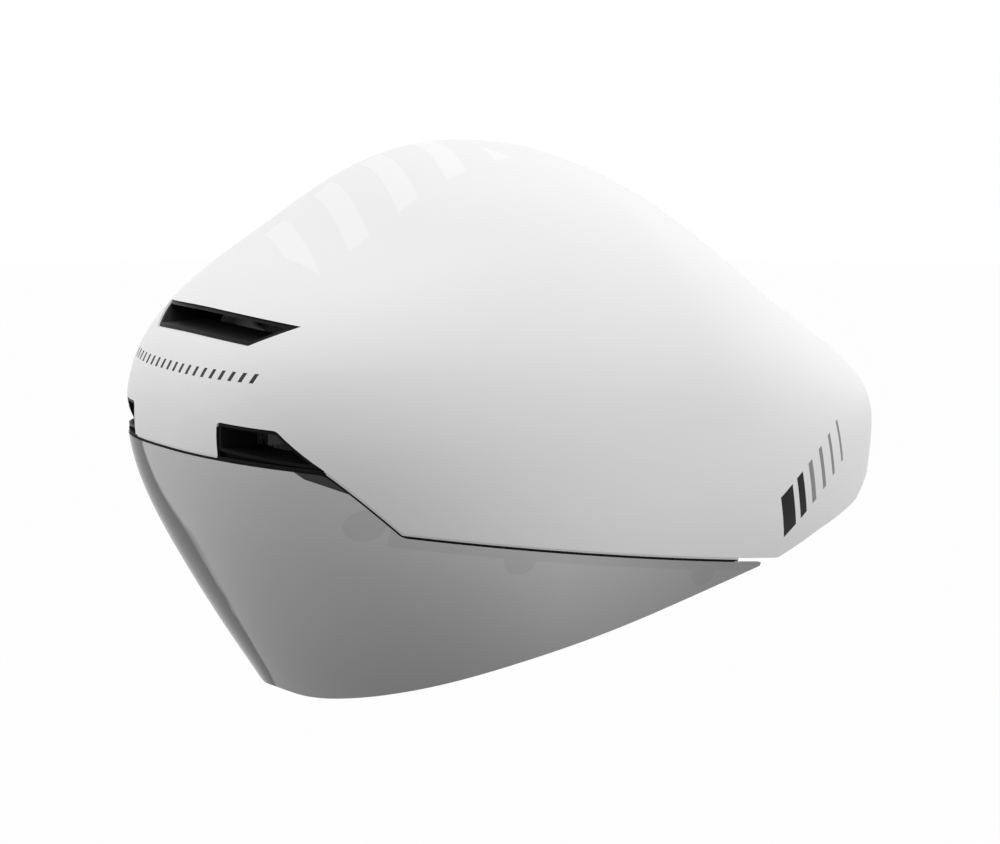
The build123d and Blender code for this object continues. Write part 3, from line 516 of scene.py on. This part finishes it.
def plump(node, body, channels=(), inset=pad_room):
    """A padded piece in place of a pad's solid: swollen, with sewn channels, its back kept flat."""
    bpy.ops.object.select_all(action="DESELECT")
    pad = bpy.data.objects.new(node + "_padding", nodes[node].data.copy())
    bpy.context.scene.collection.objects.link(pad)
    bpy.context.view_layer.objects.active = pad
    pad.select_set(True)
    bpy.ops.object.mode_set(mode="EDIT")
    bpy.ops.mesh.select_all(action="SELECT")
    bpy.ops.mesh.remove_doubles(threshold=0.00002)
    bpy.ops.object.mode_set(mode="OBJECT")
    remesh = pad.modifiers.new("even", "REMESH")
    remesh.mode, remesh.voxel_size = "VOXEL", pad_voxel
    bpy.ops.object.modifier_apply(modifier="even")
    ease = pad.modifiers.new("ease", "SMOOTH")
    ease.factor, ease.iterations = 0.5, 5
    bpy.ops.object.modifier_apply(modifier="ease")
    swell(pad)
    for vertex in pad.data.vertices:
        inward = max(0, (1 - hollow_reach(vertex.co, inset)) * hollow_size.x)
        for channel in channels:
            groove = math.exp(-((vertex.co.x - channel) / groove_width) ** 2)
            vertex.co *= 1 + groove * groove_share * inward / max(vertex.co.length, 1e-6)
        reach = hollow_reach(vertex.co, inset)
        if reach > 1:
            vertex.co /= reach
    pad.modifiers.new("soften", "SUBSURF").levels = 1
    bpy.ops.object.modifier_apply(modifier="soften")
    bpy.ops.object.shade_smooth()
    pad.data.materials.clear()
    pad.data.materials.append(charcoal.owner)
    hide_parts(node)
    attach(pad, body)


plump("brow_pad", "slip_liner", channels=brow_channels)

# Crown and temple pads: smaller pads of the same knit, two in front on the crown, two behind it
# and one at each temple.
for side in ("left", "right"):
    for place in ("front_crown", "rear_crown", "temple"):
        plump(f"{place}_pad_{side}", "slip_liner")

# Chin pad: a soft pad of the same knit on the inner face of the chin strap. It is stored up inside
# the crown with the strap, so it lies further in than the pads on the slip liner.
chin_pad_room = 0.0052
plump("chin_pad", "helmet", inset=chin_pad_room)

# Neck pads: a pair of the same knit on the cradle's inner face, which press on the back of the
# head. The cradle's frame is behind them, so they lie furthest in.
neck_pad_room = 0.0102
for side in ("left", "right"):
    plump(f"neck_pad_{side}", "cradle", inset=neck_pad_room)

# Straps: flat polyester webbing, woven in a herringbone and bar-tacked near one end. The four
# side straps climb from their anchors to the dividers.
strap_width = 0.015
strap_wall = 0.0012
strap_inset = 0.0044
strap_fill_share = 0.92
weave_scale = 5200
chevron = strap_width / 2
selvedge = 0.0012
tack_scale = 7000
tack_span = (0.006, 0.008)
web_dark = (0.012, 0.012, 0.013)
web_light = (0.032, 0.032, 0.034)
tack_grey = (0.15, 0.15, 0.15)
webbing = Finish("webbing", sheen=0.25)
u, v, _ = webbing.axes("UV")
rib = ((u + abs(v % chevron - chevron / 2)) * weave_scale).sine()
edge = abs(v - strap_width / 2) > strap_width / 2 - selvedge
tack = (v * tack_scale).sine() * u.between(*tack_span)
woven = webbing.blend(rib * 0.35 + 0.4, web_dark, web_light)
webbing.put("Base Color", webbing.blend(tack * 0.5, woven, tack_grey))
webbing.put("Roughness", webbing.noise(scale=800) * 0.2 + 0.7)
webbing.bump(rib * (1 - edge * 0.7) + tack * 2, depth=0.00018, strength=0.7)


def strap(name, node, place, steps):
    """A band of webbing: place gives the middle of its wall for a share along and a share across."""
    bpy.ops.object.select_all(action="DESELECT")
    bpy.ops.mesh.primitive_grid_add(x_subdivisions=steps, y_subdivisions=8, size=2, calc_uvs=True)
    band = bpy.context.object
    band.name = name
    for vertex in band.data.vertices:
        vertex.co = place((vertex.co.x + 1) / 2, (vertex.co.y + 1) / 2)
    length = (place(1, 0.5) - place(0.5, 0.5)).length + (place(0.5, 0.5) - place(0, 0.5)).length
    for corner in band.data.uv_layers[0].data:
        corner.uv = (corner.uv[0] * length, corner.uv[1] * strap_width)
    bpy.ops.object.mode_set(mode="EDIT")
    bpy.ops.mesh.select_all(action="SELECT")
    bpy.ops.mesh.normals_make_consistent(inside=False)
    bpy.ops.object.mode_set(mode="OBJECT")
    wall = band.modifiers.new("wall", "SOLIDIFY")
    wall.thickness, wall.offset = strap_wall * strap_fill_share, 0
    bpy.ops.object.modifier_apply(modifier="wall")
    round_edge = band.modifiers.new("edge", "BEVEL")
    round_edge.width, round_edge.segments, round_edge.limit_method = 0.0003, 2, "ANGLE"
    bpy.ops.object.modifier_apply(modifier="edge")
    bpy.ops.object.shade_smooth()
    band.data.materials.append(webbing.owner)
    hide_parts(node)
    return band


def on_hollow(x, y, z):
    """The point of the strap's layer in that direction from the head's middle, seen along Y."""
    length = hollow_size.y if y < 0 else hollow_rear
    left = 1 - abs(y / (length - strap_inset)) ** hollow_power
    spread = (abs(x / (hollow_size.x - strap_inset)) ** hollow_power
              + max(z, 0) ** hollow_power / (hollow_size.z - strap_inset) ** hollow_power)
    scale = (left / spread) ** (1 / hollow_power)
    return Vector((x * scale, y, z * scale if z > 0 else z))


def side_strap(side, corners):
    """A place on a side strap, from its four corners in the side view: two at its foot, two on top."""
    def place(along, across):
        foot = Vector(corners[0]).lerp(Vector(corners[1]), across)
        head = Vector(corners[3]).lerp(Vector(corners[2]), across)
        y, z = foot.lerp(head, along)
        if z <= 0:
            return on_hollow(side, y, z)
        left = (1 - abs(y / (hollow_rear - strap_inset)) ** hollow_power
                - (z / (hollow_size.z - strap_inset)) ** hollow_power)
        return Vector((side * (hollow_size.x - strap_inset) * left ** (1 / hollow_power), y, z))
    return place


strap_corners = {
    "front": ((-0.0368, -0.0173), (-0.0292, -0.0302), (0.0178, 0.0018), (0.0028, 0.0018)),
    "rear": ((0.0634, -0.0439), (0.0736, -0.0329), (0.0332, 0.0018), (0.0182, 0.0018)),
}
for side, sign in (("left", 1), ("right", -1)):
    for place, corners in strap_corners.items():
        band = strap(f"{place}_webbing_{side}", f"{place}_strap_{side}", side_strap(sign, corners), 40)
        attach(band, "helmet")

# Chin strap: from the right divider over the crown's inside to the buckle, and from the left
# divider to the buckle's other half. It is tucked up inside, as the helmet is stored.
strap_low, strap_high = 0.0105, 0.0255
right_turn, left_turn = math.pi - 0.2045, 1.165
web_foot, web_head = Vector((0.0774, 0.018, 0.0162)), Vector((0.0570, 0.018, 0.0366))
web_end_share = 0.03


def over_crown(along, across):
    """A place on the right chin strap, which climbs the hollow's wall from the right divider."""
    angle = right_turn + (left_turn - right_turn) * along
    y = strap_low + (strap_high - strap_low) * across
    return on_hollow(math.cos(angle), y, math.sin(angle))


def to_buckle(along, across):
    """A place on the left chin strap, which runs straight to the buckle's male half."""
    middle = web_foot.lerp(web_head, web_end_share + (1 - 2 * web_end_share) * along)
    middle.y = strap_low + (strap_high - strap_low) * across
    return middle


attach(strap("chin_webbing_right", "chin_strap_right", over_crown, 120), "helmet")
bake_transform(strap("chin_webbing_left", "chin_strap_left", to_buckle, 24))
